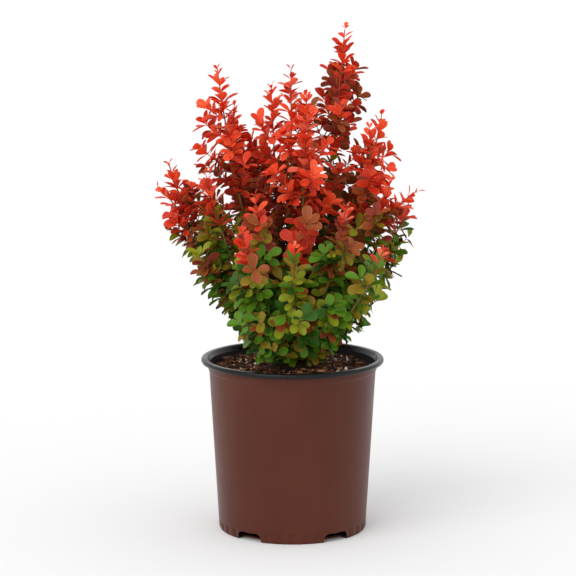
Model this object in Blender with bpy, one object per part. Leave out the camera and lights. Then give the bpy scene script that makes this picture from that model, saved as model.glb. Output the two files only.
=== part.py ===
"""Orange rocket barberry in a nursery pot: an upright shrub of red-tipped shoots.

Metres, with +Z up. The origin is the centre of the pot's flat underside, and the side
that is usually looked at faces -Y. Each shoot is a bare cane that ends where it enters its
own mass of foliage. A mass is one solid: a stem, side twigs and leaves grown on it by a
seeded rule, kept inside the space that lies nearer to its shoot than to any other.
"""

import math
import random
from dataclasses import dataclass

import bmesh
import bpy
from mathutils import Matrix, Vector
from mathutils.kdtree import KDTree

MM = 0.001
GAP = 0.3 * MM
UP = Vector((0, 0, 1))

# Pot
POT_HEIGHT = 218 * MM
BASE_RADIUS = 92.6 * MM
SHOULDER_RADIUS = 104.4 * MM
SHOULDER_HEIGHT = 202 * MM
NECK_RADIUS = 105.7 * MM
NECK_RISE = 1.6 * MM
WALL = 2 * MM
FLOOR = 2.2 * MM
FOOT_BEVEL = 2.4 * MM
POT_SEGMENTS = 48
NOTCHES = 5
NOTCH_WIDTH = 35 * MM
NOTCH_HEIGHT = 10.5 * MM
NOTCH_CORNER = 6 * MM
NOTCH_INNER_RADIUS = 78 * MM
NOTCH_FIRST_ANGLE = math.radians(-54)

# Rolled rim
RIM_RADIUS = 114.5 * MM
RIM_INNER_RADIUS = 106.4 * MM
RIM_DEPTH = 6 * MM
RIM_ROUND = 1.9 * MM
RIM_SEGMENTS = 48

# Potting mix and the stump that the canes rise from
SOIL_HEIGHT = 206 * MM
SOIL_SEGMENTS = 36
SOIL_DISH = 3 * MM  # how much lower the mix lies along the wall than round the stump
SOIL_ROUGH_RADIUS = 74 * MM
SOIL_BUMP = 1 * MM
CROWN_HEIGHT = 12 * MM
CROWN_RADIUS = 24.5 * MM
FLARE_RADIUS = 34 * MM
FLARE_LOBES = 5
FLARE_WAVE = 0.07
FLARE_STEPS = ((0, 1), (0.3, 0.84), (0.7, 0.74))  # share of the stump's height, share of the flare

# Shoots
FOOT_SPREAD = 0.12  # where a cane stands on the stump, as a share of its tip's distance out
TIP_LEAN = 0.55  # how far a shoot still leans at its tip, as a share of its mean lean
PATH_POINTS = 97
FORK_POINTS = 25
FORK_START = 0.72  # where a side shoot leaves, as a share of the way up to its own tip
FORK_RISE = 0.35
FORK_OUT = 0.2
CANE_FOOT_RADIUS = 2.3 * MM
SHOOT_TIP_RADIUS = 1.1 * MM
CANE_SIDES = 6
CANE_RINGS = 3
STEM_SIDES = 4
STEM_RING_STEP = 45 * MM

# Foliage
GOLDEN_ANGLE = math.radians(137.5)
YOUNG_LENGTH = 85 * MM  # the stretch below a tip whose leaves are small and close
LEAF_LENGTHS = (21 * MM, 36 * MM)  # at the tip, and below the young stretch
LEAF_SPACING = (9.5 * MM, 15 * MM)
LEAF_ANGLES = (math.radians(36), math.radians(76))
LEAF_WIDTH_SHARE = 0.66
LEAF_WIDEST_SHARE = 0.62
LEAF_THICKEST_SHARE = 0.3
LEAF_THICKNESS = 0.9 * MM
LEAF_SUNK_SHARE = 0.6  # how far past a stem's centre a leaf's root reaches, of the way to its side
FIRST_LEAF = 6 * MM  # how far above its foot a mass bears its first leaf
CREST_SUNK = 2 * MM  # how deep the leaf at the end of a stem or twig stands in it
CREST_TILT = math.radians(6)
LEAF_TRIES = 3
LEAF_RETREATS = ((1, 1), (0.75, 1), (0.5, 0.9))  # shares of the angle and of the length tried in turn
TWIG_EVERY = 3
TWIG_LENGTHS = (22 * MM, 48 * MM)
TWIG_ANGLE = math.radians(58)
TWIG_RADII = (1.6 * MM, 1.1 * MM)
TWIG_SIDES = 3
TWIG_LEAVES = 4
TWIG_TRIES = 6
TWIG_CHECKS = (0.4, 0.6, 0.8, 1)
TURN_PLAY = 0.3
SPACING_PLAY = 0.15
LENGTH_PLAY = 0.1
KEPT_APART = 1.5 * MM
LIMB_CLEARANCE = 3.5 * MM
SOIL_CLEARANCE = 3 * MM
RIM_CLEARANCE = 3 * MM
LEAF_TINTS = ((0.07, 0.16, 0.02), (0.30, 0.10, 0.025), (0.78, 0.08, 0.03))  # green, bronze, coral
GREEN_TIP = 380 * MM
CORAL_TIP = 560 * MM


@dataclass(frozen=True)
class Shoot:
    """One shoot: where its highest leaf ends, in millimetres, and how much of it is bare cane."""

    name: str
    tip: tuple[float, float, float]
    bare: float
    forks: tuple[tuple[float, float, float], ...] = ()


SHOOTS = (
    Shoot("tallest", (66, 50, 635), 0.34),
    Shoot("left_tall", (-94, 5, 589), 0.26, ((-71, 18, 541),)),
    Shoot("centre_left", (-27, 42, 563), 0.34),
    Shoot("centre_tall", (-2, 8, 588), 0.34),
    Shoot("centre_front", (17, -48, 561), 0.18),
    Shoot("right_tall", (112, 8, 532), 0.24, ((94, -14, 516),)),
    Shoot("far_left", (-155, -12, 471), 0.12, ((-175, -14, 441),)),
    Shoot("left_front", (-108, -48, 464), 0.12),
    Shoot("far_right", (122, -38, 452), 0.12, ((160, -40, 437),)),
    Shoot("low_left", (-128, 36, 412), 0.1),
    Shoot("front_left", (-47, -76, 442), 0.12),
    Shoot("low_front_left", (-62, -114, 402), 0.1),
    Shoot("front_right", (66, -88, 430), 0.12),
    Shoot("low_front", (2, -126, 384), 0.1),
    Shoot("low_front_right", (112, -102, 378), 0.1),
    Shoot("back_centre", (22, 112, 512), 0.28),
    Shoot("back_left", (-56, 106, 474), 0.24),
    Shoot("back_right", (104, 88, 478), 0.2),
    Shoot("far_back_left", (-116, 92, 424), 0.12),
    Shoot("low_right", (150, 44, 418), 0.1),
    Shoot("low_back_left", (-32, 158, 412), 0.12),
    Shoot("low_back_right", (64, 148, 426), 0.12),
)


@dataclass(frozen=True)
class Leaf:
    """One leaf, from its root on its stem's centre."""

    root: Vector
    along: Vector
    face: Vector  # the way its upper side looks
    length: float
    sunk: float  # how far back the root reaches into the stem


class Line:
    """A curved centre line that can be read at any distance along it."""

    def __init__(self, points):
        self.points = points
        self.distances = [0.0]
        for before, after in zip(points, points[1:]):
            self.distances.append(self.distances[-1] + (after - before).length)
        self.length = self.distances[-1]

    def at(self, distance):
        """The point there, and the direction that the line runs in."""
        index = 1
        while index < len(self.points) - 1 and self.distances[index] < distance:
            index += 1
        before, after = self.points[index - 1], self.points[index]
        step = self.distances[index] - self.distances[index - 1]
        share = (distance - self.distances[index - 1]) / step
        return before.lerp(after, share), (after - before).normalized()


def clear_scene():
    """Removes every object that the scene starts with."""
    for obj in list(bpy.data.objects):
        bpy.data.objects.remove(obj, do_unlink=True)


def principled(name, colour, roughness):
    """A plain material that isn't a metal."""
    material = bpy.data.materials.new(name)
    material.use_nodes = True
    shader = material.node_tree.nodes["Principled BSDF"]
    shader.inputs["Base Color"].default_value = (*colour, 1)
    shader.inputs["Roughness"].default_value = roughness
    shader.inputs["Metallic"].default_value = 0
    return material


def object_from(name, shape, material=None):
    """An object that holds a finished bmesh, which is freed."""
    mesh = bpy.data.meshes.new(name)
    bmesh.ops.recalc_face_normals(shape, faces=shape.faces)
    shape.to_mesh(mesh)
    shape.free()
    obj = bpy.data.objects.new(name, mesh)
    if material:
        mesh.materials.append(material)
    bpy.context.scene.collection.objects.link(obj)
    return obj


def turned(profile, segments, closed):
    """A profile of (radius, height) points spun round Z, open where it meets the axis."""
    shape = bmesh.new()
    points = [shape.verts.new((radius, 0, height)) for radius, height in profile]
    ends = points[1:] + points[:1] if closed else points[1:]
    edges = [shape.edges.new(pair) for pair in zip(points, ends)]
    bmesh.ops.spin(
        shape,
        geom=points + edges,
        axis=UP,
        cent=(0, 0, 0),
        steps=segments,
        angle=math.tau,
        use_merge=True,
    )
    bmesh.ops.remove_doubles(shape, verts=shape.verts, dist=0.001 * MM)
    return shape


def smoothed(obj, angle=math.radians(40)):
    """Shades an object smooth, apart from edges sharper than the angle."""
    obj.data.shade_smooth()
    obj.data.set_sharp_from_angle(angle=angle)
    return obj


def combined(obj, tools, operation):
    """Fuses the tools into the object, or cuts them from it, and removes them."""
    collection = bpy.data.collections.new("tools")
    bpy.context.scene.collection.children.link(collection)
    for tool in tools:
        bpy.context.scene.collection.objects.unlink(tool)
        collection.objects.link(tool)
    modifier = obj.modifiers.new("combine", "BOOLEAN")
    modifier.operation = operation
    modifier.operand_type = "COLLECTION"
    modifier.collection = collection
    modifier.solver = "EXACT"
    graph = bpy.context.evaluated_depsgraph_get()
    mesh = bpy.data.meshes.new_from_object(obj.evaluated_get(graph))
    obj.modifiers.clear()
    obj.data = mesh
    for tool in tools:
        bpy.data.objects.remove(tool, do_unlink=True)
    bpy.data.collections.remove(collection)
    return obj


def islands_of(shape):
    """The connected pieces of a bmesh, each a set of its vertices."""
    left = set(shape.verts)
    islands = []
    while left:
        island = set()
        edge = [left.pop()]
        while edge:
            vertex = edge.pop()
            island.add(vertex)
            near = {link.other_vert(vertex) for link in vertex.link_edges} & left
            left -= near
            edge.extend(near)
        islands.append(island)
    return islands


def keep_largest(obj):
    """Drops loose scraps, and the skins of sealed hollows, which fills them."""
    shape = bmesh.new()
    shape.from_mesh(obj.data)
    islands = sorted(islands_of(shape), key=len)
    for island in islands[:-1]:
        bmesh.ops.delete(shape, geom=list(island), context="VERTS")
    bmesh.ops.triangulate(shape, faces=shape.faces)
    shape.to_mesh(obj.data)
    shape.free()
    return obj


def wall_radius(height):
    """The outside of the pot's wall, which widens evenly to its shoulder."""
    return BASE_RADIUS + (SHOULDER_RADIUS - BASE_RADIUS) * height / SHOULDER_HEIGHT


def pot_profile():
    """The pot's half section, from the middle of its underside round to the middle of its floor."""
    neck_top = POT_HEIGHT - RIM_DEPTH - GAP
    outside = [
        (0, 0),
        (BASE_RADIUS - FOOT_BEVEL, 0),
        (wall_radius(FOOT_BEVEL), FOOT_BEVEL),
        (SHOULDER_RADIUS, SHOULDER_HEIGHT),
        (NECK_RADIUS, SHOULDER_HEIGHT + NECK_RISE),
        (NECK_RADIUS, neck_top),
    ]
    inside = [
        (NECK_RADIUS - WALL, neck_top),
        (NECK_RADIUS - WALL, SHOULDER_HEIGHT + NECK_RISE),
        (SHOULDER_RADIUS - WALL, SHOULDER_HEIGHT - NECK_RISE),
        (wall_radius(FLOOR) - WALL, FLOOR),
        (0, FLOOR),
    ]
    return outside + inside


def notch_cutter(index):
    """An arch with round shoulders that runs out through the foot of the wall."""
    shape = bmesh.new()
    outer = BASE_RADIUS + NOTCH_HEIGHT
    size = (outer - NOTCH_INNER_RADIUS, NOTCH_WIDTH, 2 * NOTCH_HEIGHT)
    place = Matrix.Translation(((outer + NOTCH_INNER_RADIUS) / 2, 0, 0))
    bmesh.ops.create_cube(shape, size=1, matrix=place @ Matrix.Diagonal((*size, 1)))
    long_edges = [e for e in shape.edges if abs(e.verts[0].co.x - e.verts[1].co.x) > size[0] / 2]
    upper = [e for e in long_edges if e.verts[0].co.z > 0]
    bmesh.ops.bevel(shape, geom=upper, offset=NOTCH_CORNER, segments=3, profile=0.5, affect="EDGES")
    turn = Matrix.Rotation(NOTCH_FIRST_ANGLE + index * math.tau / NOTCHES, 4, "Z")
    bmesh.ops.transform(shape, matrix=turn, verts=shape.verts)
    return object_from("notch_cutter", shape)


def make_pot():
    """The pot's shell, whose foot is cut into by drainage notches."""
    shape = turned(pot_profile(), POT_SEGMENTS, closed=False)
    pot = object_from("pot", shape, principled("pot_plastic", (0.155, 0.052, 0.03), 0.42))
    return smoothed(combined(pot, [notch_cutter(index) for index in range(NOTCHES)], "DIFFERENCE"))


def make_rim():
    """The rolled lip, which sits on the neck's top edge and overhangs the wall."""
    foot = POT_HEIGHT - RIM_DEPTH
    profile = [
        (NECK_RADIUS - WALL, foot),
        (RIM_INNER_RADIUS, POT_HEIGHT - RIM_ROUND / 2),
        (RIM_INNER_RADIUS + RIM_ROUND, POT_HEIGHT),
        (RIM_RADIUS - RIM_ROUND, POT_HEIGHT),
        (RIM_RADIUS, POT_HEIGHT - RIM_ROUND),
        (RIM_RADIUS, foot + RIM_ROUND),
        (RIM_RADIUS - RIM_ROUND, foot),
    ]
    shape = turned(profile, RIM_SEGMENTS, closed=True)
    return smoothed(object_from("pot_rim", shape, principled("rim_plastic", (0.03, 0.032, 0.032), 0.36)))


def make_mix():
    """The potting mix that fills the pot: flat under the stump, a little uneven round it."""
    edge = SHOULDER_RADIUS - WALL - 2 * GAP
    profile = [
        (0, FLOOR + GAP),
        (wall_radius(FLOOR) - WALL - 2 * GAP, FLOOR + GAP),
        (edge, SHOULDER_HEIGHT - NECK_RISE),
        (edge, SOIL_HEIGHT - SOIL_DISH),
        (SOIL_ROUGH_RADIUS, SOIL_HEIGHT - SOIL_BUMP),
        (FLARE_RADIUS * (1 + FLARE_WAVE), SOIL_HEIGHT),
        (0, SOIL_HEIGHT),
    ]
    shape = turned(profile, SOIL_SEGMENTS, closed=False)
    chance = random.Random("soil")
    for vertex in sorted(shape.verts, key=lambda v: math.atan2(v.co.y, v.co.x)):
        if abs(vertex.co.xy.length - SOIL_ROUGH_RADIUS) < GAP and vertex.co.z > SHOULDER_HEIGHT:
            vertex.co.z += chance.uniform(-SOIL_BUMP, SOIL_BUMP)
        vertex.co.xy *= math.cos(math.pi / POT_SEGMENTS)
    return object_from("potting_mix", shape, principled("mix", (0.02, 0.009, 0.005), 0.95))


def make_crown(bark):
    """The short woody stump at soil level, flaring into lobes where roots start."""
    foot = SOIL_HEIGHT + GAP
    top = SOIL_HEIGHT + CROWN_HEIGHT
    flare = [(share * FLARE_RADIUS, foot + rise * CROWN_HEIGHT) for rise, share in FLARE_STEPS]
    shape = turned([(0, foot), *flare, (CROWN_RADIUS, top), (0, top)], 4 * FLARE_LOBES, closed=False)
    for vertex in shape.verts:
        drop = 1 - (vertex.co.z - foot) / CROWN_HEIGHT
        angle = math.atan2(vertex.co.y, vertex.co.x)
        vertex.co.xy *= 1 + FLARE_WAVE * drop * math.cos(FLARE_LOBES * angle)
    return smoothed(object_from("root_crown", shape, bark))


def bent_line(foot, knee, tip, count):
    """A line of that many points from foot to tip, drawn towards the knee between them."""
    shares = [index / (count - 1) for index in range(count)]
    return Line([foot.lerp(knee, share).lerp(knee.lerp(tip, share), share) for share in shares])


def shoot_line(tip):
    """A shoot's centre line: it leaves the stump leaning out and turns upright to its tip."""
    foot = Vector((tip.x * FOOT_SPREAD, tip.y * FOOT_SPREAD, SOIL_HEIGHT + CROWN_HEIGHT + GAP))
    chord = tip - foot
    out = Vector((chord.x, chord.y, 0))
    lean = TIP_LEAN * math.atan2(out.length, chord.z)
    knee = tip - (out.normalized() * math.sin(lean) + UP * math.cos(lean)) * chord.length / 2
    return bent_line(foot, knee, tip, PATH_POINTS)


def fork_line(main, tip):
    """A side shoot, which leaves the main one below its own tip and turns up beside it."""
    rise = (tip.z - main.points[0].z) / (main.points[-1].z - main.points[0].z)
    foot, along = main.at(main.length * FORK_START * rise)
    chord = tip - foot
    knee = foot + along * chord.length * FORK_RISE + chord * FORK_OUT
    return bent_line(foot, knee, tip, FORK_POINTS)


def shoot_radius(share):
    """A shoot's radius at a share of its length from the foot."""
    return CANE_FOOT_RADIUS + (SHOOT_TIP_RADIUS - CANE_FOOT_RADIUS) * share


def fork_radius(_distance):
    """A side shoot is as thick all along as its parent is near the tip."""
    return SHOOT_TIP_RADIUS


def limb(name, line, start, end, rings, sides, radius_at, material, level_foot=False):
    """A tapering limb with flat ends along a stretch of a line."""
    shape = bmesh.new()
    loops = []
    for index in range(rings + 1):
        distance = start + (end - start) * index / rings
        point, along = line.at(distance)
        if level_foot and index == 0:
            along = UP
        turn = UP.rotation_difference(along).to_matrix().to_4x4()
        turn.translation = point
        made = bmesh.ops.create_circle(shape, segments=sides, radius=radius_at(distance), matrix=turn)
        loops.append(made["verts"])
    for lower, upper in zip(loops, loops[1:]):
        for side in range(sides):
            after = (side + 1) % sides
            shape.faces.new((lower[side], lower[after], upper[after], upper[side]))
    shape.faces.new(loops[0])
    shape.faces.new(loops[-1])
    return object_from(name, shape, material)


class Territory:
    """Tells which shoot a point lies nearest to, and whether limbs, mix and pot leave it free."""

    def __init__(self, lines):
        self.trees = {}
        for name, strands in lines.items():
            points = [point for strand in strands for point in strand.points]
            tree = KDTree(len(points))
            for index, point in enumerate(points):
                tree.insert(point, index)
            tree.balance()
            self.trees[name] = tree

    def holds(self, name, point):
        """Whether a point is free and belongs to this shoot's mass."""
        radius = point.xy.length
        if point.z < SOIL_HEIGHT + SOIL_CLEARANCE + (CROWN_HEIGHT if radius < FLARE_RADIUS else 0):
            return False
        if radius > RIM_INNER_RADIUS - RIM_CLEARANCE and point.z < POT_HEIGHT + RIM_CLEARANCE:
            return False
        own = self.trees[name].find(point)[2]
        other = min(tree.find(point)[2] for key, tree in self.trees.items() if key != name)
        return own + KEPT_APART < other and other > LIMB_CLEARANCE


def leaf_corners(leaf):
    """The four corners of a leaf's outline, from its root round to its left side."""
    across = leaf.along.cross(leaf.face).normalized()
    widest = leaf.root + leaf.along * leaf.length * LEAF_WIDEST_SHARE
    side = across * leaf.length * LEAF_WIDTH_SHARE / 2
    tip = leaf.root + leaf.along * leaf.length
    return leaf.root, widest + side, tip, widest - side


def leaf_fits(territory, name, leaf):
    """Whether a leaf's outline, apart from its root, stays in its mass's space."""
    root, right, tip, left = leaf_corners(leaf)
    samples = [right, tip, left, (root + tip) / 2]
    samples += [(tip + right) / 2, (tip + left) / 2, (root + right) / 2, (root + left) / 2]
    return all(territory.holds(name, point) for point in samples)


def leaf_object(leaf):
    """A leaf as a flat kite of eight faces, thickest near its root."""
    root, right, tip, left = leaf_corners(leaf)
    thickest = root.lerp(tip, LEAF_THICKEST_SHARE)
    shape = bmesh.new()
    rim = [shape.verts.new(point) for point in (root - leaf.along * leaf.sunk, right, tip, left)]
    for side in (1, -1):
        peak = shape.verts.new(thickest + leaf.face * side * LEAF_THICKNESS / 2)
        for before, after in zip(rim, rim[1:] + rim[:1]):
            shape.faces.new((before, after, peak))
    return object_from("leaf", shape)


def twig_object(foot, tip):
    """A straight twig between two points."""
    along = tip - foot
    turn = along.to_track_quat("Z", "Y").to_matrix().to_4x4()
    turn.translation = (foot + tip) / 2
    shape = bmesh.new()
    bmesh.ops.create_cone(
        shape,
        cap_ends=True,
        segments=TWIG_SIDES,
        radius1=TWIG_RADII[0],
        radius2=TWIG_RADII[1],
        depth=along.length,
        matrix=turn,
    )
    return object_from("twig", shape)


def blend(pair, share):
    """The value a share of the way from the first of a pair to the second."""
    return pair[0] + (pair[1] - pair[0]) * min(max(share, 0), 1)


def around(along, angle, turn):
    """A direction that leaves a line at an angle, turned about it."""
    side = along.orthogonal().normalized()
    side.rotate(Matrix.Rotation(turn, 3, along))
    return along * math.cos(angle) + side * math.sin(angle)


def sunk_in(radius, sides):
    """How far a leaf's root can reach past the centre of a limb and stay inside it."""
    return LEAF_SUNK_SHARE * radius * math.cos(math.pi / sides)


def fitted_leaf(territory, name, root, along, turn, angle, length, sunk):
    """A leaf that fits, tried ever steeper and smaller, then on other sides, or None."""
    for side in range(LEAF_TRIES):
        for closing, size in LEAF_RETREATS:
            out = around(along, angle * closing, turn + side * GOLDEN_ANGLE)
            face = (along - out * along.dot(out)).normalized()
            leaf = Leaf(root, out, face, length * size, sunk)
            if leaf_fits(territory, name, leaf):
                return leaf
    return None


def twig_with_leaves(territory, name, foot, along, turn, length, leaf_length, chance):
    """A side twig and the leaves along it, or nothing where the twig would leave its space."""
    for _ in range(TWIG_TRIES):
        out = around(along, TWIG_ANGLE, turn)
        tip = foot + out * length
        if all(territory.holds(name, foot.lerp(tip, share)) for share in TWIG_CHECKS):
            break
        turn += GOLDEN_ANGLE
    else:
        return []
    leaves = [fitted_leaf(territory, name, tip, out, turn, CREST_TILT, leaf_length, CREST_SUNK)]
    for index in range(1, TWIG_LEAVES):
        share = index / TWIG_LEAVES
        sunk = sunk_in(blend(TWIG_RADII, share), TWIG_SIDES)
        spin = index * GOLDEN_ANGLE + chance.uniform(-TURN_PLAY, TURN_PLAY)
        root = foot.lerp(tip, share)
        leaves.append(fitted_leaf(territory, name, root, out, spin, LEAF_ANGLES[1], leaf_length, sunk))
    if not any(leaves):
        return []
    return [twig_object(foot, tip)] + [leaf_object(leaf) for leaf in leaves if leaf]


def leaf_places(top, bottom, chance):
    """Distances along a strand where it bears leaves, close together near its top."""
    places = [top]
    while places[-1] > bottom:
        spacing = blend(LEAF_SPACING, (top - places[-1]) / YOUNG_LENGTH)
        places.append(places[-1] - spacing * (1 + chance.uniform(-SPACING_PLAY, SPACING_PLAY)))
    return places[1:-1]


def foliage_on(territory, name, line, start, radius_at, chance):
    """The twigs and leaves along one strand, from its tip down to where its foliage starts."""
    top = line.length - LEAF_LENGTHS[0]
    turn = chance.uniform(0, math.tau)
    crest = fitted_leaf(territory, name, *line.at(top), turn, CREST_TILT, LEAF_LENGTHS[0], CREST_SUNK)
    leaves = [crest]
    made = []
    for index, place in enumerate(leaf_places(top, start + FIRST_LEAF, chance), start=1):
        share = (top - place) / YOUNG_LENGTH
        turn += GOLDEN_ANGLE + chance.uniform(-TURN_PLAY, TURN_PLAY)
        point, along = line.at(place)
        length = blend(LEAF_LENGTHS, share) * (1 + chance.uniform(-LENGTH_PLAY, LENGTH_PLAY))
        spray = []
        if share > 1 and index % TWIG_EVERY == 0:
            reach = blend(TWIG_LENGTHS, share - 1)
            spray = twig_with_leaves(territory, name, point, along, turn, reach, length, chance)
            made += spray
        if not spray:
            angle = blend(LEAF_ANGLES, share)
            sunk = sunk_in(radius_at(place), STEM_SIDES)
            leaves.append(fitted_leaf(territory, name, point, along, turn, angle, length, sunk))
    return made + [leaf_object(leaf) for leaf in leaves if leaf]


def leaf_colour(height):
    """Green for a low shoot, bronze for one half way up and coral for a tall one."""
    place = min(max((height - GREEN_TIP) / (CORAL_TIP - GREEN_TIP), 0), 1) * 2
    first = min(int(place), 1)
    return [blend(pair, place - first) for pair in zip(LEAF_TINTS[first], LEAF_TINTS[first + 1])]


def make_shoot(shoot, strands, territory, bark):
    """One cane and the mass of foliage that stands on its tip."""
    main = strands[0]

    def radius_at(distance):
        return shoot_radius(distance / main.length)

    end = main.length * shoot.bare
    limb(f"cane_{shoot.name}", main, 0, end, CANE_RINGS, CANE_SIDES, radius_at, bark, level_foot=True)
    leaves = principled(f"leaves_{shoot.name}", leaf_colour(shoot.tip[2] * MM), 0.5)
    start = end + GAP
    top = main.length - LEAF_LENGTHS[0]
    rings = math.ceil((top - start) / STEM_RING_STEP)
    stem = limb(f"foliage_{shoot.name}", main, start, top, rings, STEM_SIDES, radius_at, leaves)
    chance = random.Random(shoot.name)
    grown = foliage_on(territory, shoot.name, main, start, radius_at, chance)
    for fork in strands[1:]:
        top = fork.length - LEAF_LENGTHS[0]
        rings = math.ceil(top / STEM_RING_STEP)
        grown.append(limb("fork", fork, 0, top, rings, STEM_SIDES, fork_radius, None))
        grown += foliage_on(territory, shoot.name, fork, 0, fork_radius, chance)
    return keep_largest(combined(stem, grown, "UNION"))


def main():
    """Models the potted shrub."""
    clear_scene()
    bark = principled("bark", (0.12, 0.075, 0.045), 0.85)
    make_pot()
    make_rim()
    make_mix()
    make_crown(bark)
    lines = {}
    for shoot in SHOOTS:
        strand = shoot_line(Vector(shoot.tip) * MM)
        forks = [fork_line(strand, Vector(tip) * MM) for tip in shoot.forks]
        lines[shoot.name] = [strand, *forks]
    territory = Territory(lines)
    for shoot in SHOOTS:
        make_shoot(shoot, lines[shoot.name], territory, bark)


main()
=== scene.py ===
"""Looks of an orange rocket barberry in its nursery pot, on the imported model's frame.

The pot, its rolled rim, the potting mix and the stump are modelled over their solids. The
shoots grow on from the stump along the same lines as the canes and the masses of foliage,
and are carried on to side twigs, clusters of leaves and thin spines by a seeded rule.
"""

import logging
import math
import random
from collections.abc import Sequence
from dataclasses import dataclass, field
from enum import Enum

import bpy
import numpy as np
from mathutils import Matrix, Vector, noise


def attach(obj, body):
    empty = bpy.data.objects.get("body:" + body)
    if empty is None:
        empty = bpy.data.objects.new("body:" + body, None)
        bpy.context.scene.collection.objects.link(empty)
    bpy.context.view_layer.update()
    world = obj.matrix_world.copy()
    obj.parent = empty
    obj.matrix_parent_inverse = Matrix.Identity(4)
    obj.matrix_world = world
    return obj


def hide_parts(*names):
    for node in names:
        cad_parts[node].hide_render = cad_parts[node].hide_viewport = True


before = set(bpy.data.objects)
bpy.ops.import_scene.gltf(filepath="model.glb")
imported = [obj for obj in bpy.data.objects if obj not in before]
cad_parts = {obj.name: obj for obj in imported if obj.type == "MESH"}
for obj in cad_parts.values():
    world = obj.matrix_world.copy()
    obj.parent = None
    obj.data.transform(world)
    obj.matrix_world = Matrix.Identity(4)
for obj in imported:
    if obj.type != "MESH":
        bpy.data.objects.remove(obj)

log = logging.getLogger("barberry")

MM = 0.001
UP = Vector((0, 0, 1))
GOLDEN_ANGLE = math.radians(137.5)
MERGE_DISTANCE = 0.001 * MM
SMOOTH_ALL = 180
LEAF_PARTS = ("blade", "margin", "midrib")
BLOTCH_DETAIL = 5
GRAIN_DETAIL = 4

# The sockets by which a Mix node blends colours, since their names repeat
MIX_FACTOR = 0
MIX_FIRST = 6
MIX_SECOND = 7
MIX_RESULT = 2

Colour = tuple[float, float, float]
Span = tuple[float, float]
Profile = list[tuple[float, float]]
NoiseParts = tuple[bpy.types.NodeTree, bpy.types.Node, bpy.types.Node, bpy.types.NodeSocket]


def linear(colour: Colour) -> tuple[float, float, float, float]:
    """Turns a display colour into a shader's colour.

    Args:
        colour: red, green and blue, from 0 to 255.

    Returns:
        The same colour in linear light, with an alpha of 1.
    """
    parts = [value / 255 for value in colour]
    lit = [p / 12.92 if p <= 0.04045 else ((p + 0.055) / 1.055) ** 2.4 for p in parts]
    return (*lit, 1.0)


def blend(low: float, high: float, share: float) -> float:
    """The value at a share of the way from low to high, with the share kept from 0 to 1."""
    return low + (high - low) * min(max(share, 0.0), 1.0)


class Groups:
    """The shader node groups that several finishes share, each built once round a noise."""

    @staticmethod
    def started(name: str, numbers: dict[str, float], output: str, kind: str, detail: float) -> NoiseParts:
        """Starts a group that reads a noise at a vector and a scale.

        Args:
            name: the group's name.
            numbers: each number input's name and value, of which one is Scale.
            output: the output's name.
            kind: the output's socket type.
            detail: the noise's detail.

        Returns:
            The group's node tree, its input and output nodes, and the noise's value.
        """
        tree = bpy.data.node_groups.new(name, "ShaderNodeTree")
        tree.interface.new_socket("Vector", in_out="INPUT", socket_type="NodeSocketVector")
        for label, value in numbers.items():
            socket = tree.interface.new_socket(label, in_out="INPUT", socket_type="NodeSocketFloat")
            socket.default_value = value
        tree.interface.new_socket(output, in_out="OUTPUT", socket_type=kind)
        start = tree.nodes.new("NodeGroupInput")
        end = tree.nodes.new("NodeGroupOutput")
        pattern = tree.nodes.new("ShaderNodeTexNoise")
        pattern.inputs["Detail"].default_value = detail
        for label in ("Vector", "Scale"):
            tree.links.new(start.outputs[label], pattern.inputs[label])
        return tree, start, end, pattern.outputs["Fac"]

    @staticmethod
    def mottle() -> bpy.types.NodeTree:
        """A soft blotchy mask between two limits of a noise.

        Returns:
            The group, built at its first use.
        """
        name = "Mottle"
        if name in bpy.data.node_groups:
            return bpy.data.node_groups[name]
        numbers = {"Scale": 10, "Low": 0.4, "High": 0.6}
        tree, start, end, value = Groups.started(name, numbers, "Mask", "NodeSocketFloat", BLOTCH_DETAIL)
        limits = tree.nodes.new("ShaderNodeMapRange")
        tree.links.new(value, limits.inputs["Value"])
        tree.links.new(start.outputs["Low"], limits.inputs["From Min"])
        tree.links.new(start.outputs["High"], limits.inputs["From Max"])
        tree.links.new(limits.outputs["Result"], end.inputs["Mask"])
        return tree

    @staticmethod
    def grain() -> bpy.types.NodeTree:
        """A fine uneven surface, as a normal.

        Returns:
            The group, built at its first use.
        """
        name = "Grain"
        if name in bpy.data.node_groups:
            return bpy.data.node_groups[name]
        numbers = {"Scale": 900, "Depth": 0.1 * MM}
        tree, start, end, value = Groups.started(name, numbers, "Normal", "NodeSocketVector", GRAIN_DETAIL)
        bump = tree.nodes.new("ShaderNodeBump")
        tree.links.new(value, bump.inputs["Height"])
        tree.links.new(start.outputs["Depth"], bump.inputs["Distance"])
        tree.links.new(bump.outputs["Normal"], end.inputs["Normal"])
        return tree


@dataclass(frozen=True)
class PlainFinish:
    """One even colour, as on a leaf's blade or a young shoot."""

    name: str
    colour: Colour
    roughness: float = 0.5
    specular: float = 0.25

    def material(self) -> bpy.types.Material:
        """Makes the material, or finds it where it is already made.

        Returns:
            The material.
        """
        if self.name in bpy.data.materials:
            return bpy.data.materials[self.name]
        made = bpy.data.materials.new(self.name)
        made.use_nodes = True
        shader = made.node_tree.nodes["Principled BSDF"]
        shader.inputs["Base Color"].default_value = linear(self.colour)
        shader.inputs["Roughness"].default_value = self.roughness
        shader.inputs["Specular IOR Level"].default_value = self.specular
        return made


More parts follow.
